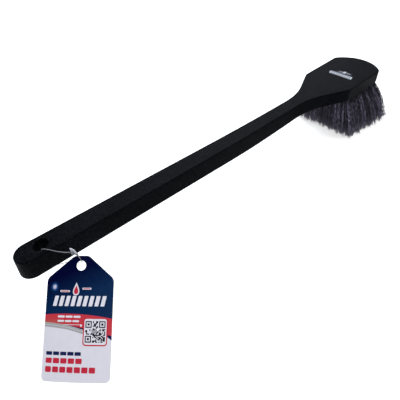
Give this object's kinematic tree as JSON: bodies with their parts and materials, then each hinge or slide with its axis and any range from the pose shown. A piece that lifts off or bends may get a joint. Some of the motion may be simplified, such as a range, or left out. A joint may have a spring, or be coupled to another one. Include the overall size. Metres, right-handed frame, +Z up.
{
  "type": "wheel brush",
  "caption": "Long-handled wheel and wheel-arch brush with a paddle head, splayed soft tufts, a hang hole and a swinging retail tag on a nylon loop.",
  "frame": {"origin": "on the support surface, under the middle of the brush's length and on its centre plane", "axes": "+X from the handle's end to the toe of the head, +Z up from the tips of the tufts to the back of the block"},
  "size_m": [0.5538, 0.1631, 0.0757],
  "materials": {
    "block": "satin black, fine sand-blasted grain",
    "bristle": "soft flagged synthetic filament, dark grey with paler tips",
    "anchor": "plain steel strip",
    "nylon": "clear nylon",
    "tag": "gloss-laminated printed card",
    "print": "white pad print"
  },
  "bodies": {
    "brush": {"handle_block": "block", "tuft_anchors": "anchor", "tuft_outer_1": "bristle", "tuft_outer_2": "bristle", "tuft_outer_3": "bristle", "tuft_outer_4": "bristle", "tuft_outer_5": "bristle", "tuft_outer_6": "bristle", "tuft_outer_7": "bristle", "tuft_outer_8": "bristle", "tuft_outer_9": "bristle", "tuft_outer_10": "bristle", "tuft_outer_11": "bristle", "tuft_outer_12": "bristle", "tuft_outer_13": "bristle", "tuft_outer_14": "bristle", "tuft_outer_15": "bristle", "tuft_outer_16": "bristle", "tuft_outer_17": "bristle", "tuft_outer_18": "bristle", "tuft_outer_19": "bristle", "tuft_second_1": "bristle", "tuft_second_2": "bristle", "tuft_second_3": "bristle", "tuft_second_4": "bristle", "tuft_second_5": "bristle", "tuft_second_6": "bristle", "tuft_second_7": "bristle", "tuft_second_8": "bristle", "tuft_second_9": "bristle", "tuft_second_10": "bristle", "tuft_second_11": "bristle", "tuft_second_12": "bristle", "tuft_second_13": "bristle", "tuft_second_14": "bristle", "tuft_second_15": "bristle", "tuft_third_1": "bristle", "tuft_third_2": "bristle", "tuft_third_3": "bristle", "tuft_third_4": "bristle", "tuft_third_5": "bristle", "tuft_third_6": "bristle", "tuft_third_7": "bristle", "tuft_third_8": "bristle", "tuft_third_9": "bristle", "tuft_third_10": "bristle", "tuft_third_11": "bristle", "tuft_third_12": "bristle", "tuft_third_13": "bristle", "tuft_centre_1": "bristle", "tuft_centre_2": "bristle", "tuft_centre_3": "bristle", "tuft_centre_4": "bristle", "tuft_centre_5": "bristle"},
    "loop": {"tag_loop": "nylon", "loop_lock": "nylon"},
    "tag": {"tag_card": "tag"}
  },
  "joints": [
    {"name": "loop_swing", "type": "hinge", "parent": "brush", "child": "loop", "pos_m": [-0.2388, 0, 0.055], "axis": [0, 0, 1], "range_deg": [-50, 12]},
    {"name": "tag_flap", "type": "hinge", "parent": "loop", "child": "tag", "pos_m": [-0.2184, -0.0395, 0.0635], "axis": [-0.7431, 0.6691, 0], "range_deg": [-6, 40]}
  ]
}
